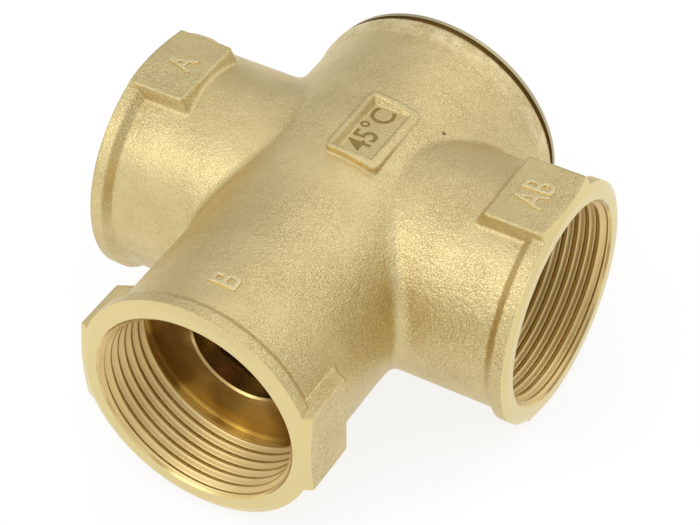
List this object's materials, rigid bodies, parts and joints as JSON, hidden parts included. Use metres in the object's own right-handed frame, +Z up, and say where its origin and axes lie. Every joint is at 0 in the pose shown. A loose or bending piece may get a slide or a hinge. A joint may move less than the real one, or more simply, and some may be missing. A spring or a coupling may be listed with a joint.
{
  "type": "thermostatic mixing valve",
  "caption": "Three-way thermostatic mixing valve in forged brass with female pipe-thread ports and a screwed end cap over its wax thermostat.",
  "frame": {"origin": "the point where the axes of the three ports cross, inside the housing", "axes": "+X out of the mixed port AB, -X out of the cold port A, -Y out of the hot port B, +Y out of the end cap, +Z up through the rating field"},
  "size_m": [0.0934, 0.1031, 0.0548],
  "materials": {
    "forged_brass": "shot-blasted forged brass, turned at the ports",
    "turned_brass": "turned brass, satin",
    "epdm_seal": "matt black EPDM",
    "epdm_gasket": "matt black EPDM",
    "stainless_sheet": "pressed stainless sheet",
    "spring_steel": "phosphated spring steel",
    "stainless_strap": "pressed stainless strap",
    "stainless_frame": "pressed stainless strap",
    "polished_steel": "ground stainless pin",
    "guide_brass": "turned brass",
    "ptfe": "white PTFE",
    "spacer_brass": "turned brass",
    "nitrile_sleeve": "matt black nitrile",
    "copper_filled_wax": "wax with copper powder",
    "drawn_copper": "drawn copper, bright",
    "stainless_disc": "pressed stainless sheet",
    "epdm_disc_seal": "matt black EPDM",
    "spring_wire": "stainless spring wire",
    "brass_disc": "turned brass",
    "light_spring_wire": "stainless spring wire",
    "clip_steel": "stainless snap ring"
  },
  "bodies": {
    "housing": {"valve_body": "forged_brass", "end_cap": "turned_brass", "cap_seal": "epdm_seal", "flange_gasket": "epdm_gasket", "valve_plate": "stainless_sheet", "retaining_ring": "spring_steel", "upper_bridge": "stainless_strap", "spring_frame": "stainless_frame", "piston": "polished_steel", "main_spring": "spring_wire"},
    "element": {"piston_guide": "guide_brass", "thrust_washer": "ptfe", "spacer_ring": "spacer_brass", "rubber_sleeve": "nitrile_sleeve", "wax_charge": "copper_filled_wax", "wax_cup": "drawn_copper", "main_disc": "stainless_disc", "disc_seal": "epdm_disc_seal", "bypass_clip": "clip_steel", "bypass_spring": "light_spring_wire"},
    "bypass_plate": {"bypass_disc": "brass_disc"}
  },
  "joints": [
    {"name": "element_slide", "type": "slide", "parent": "housing", "child": "element", "axis": [0, -1, 0], "range_m": [0, 0.007], "stiffness_N_per_m": 5000, "springref_m": -0.008, "deforming": ["main_spring"]},
    {"name": "bypass_overtravel", "type": "slide", "parent": "element", "child": "bypass_plate", "axis": [0, 1, 0], "range_m": [0, 0.0015], "stiffness_N_per_m": 1500, "springref_m": -0.003, "deforming": ["bypass_spring"]}
  ]
}
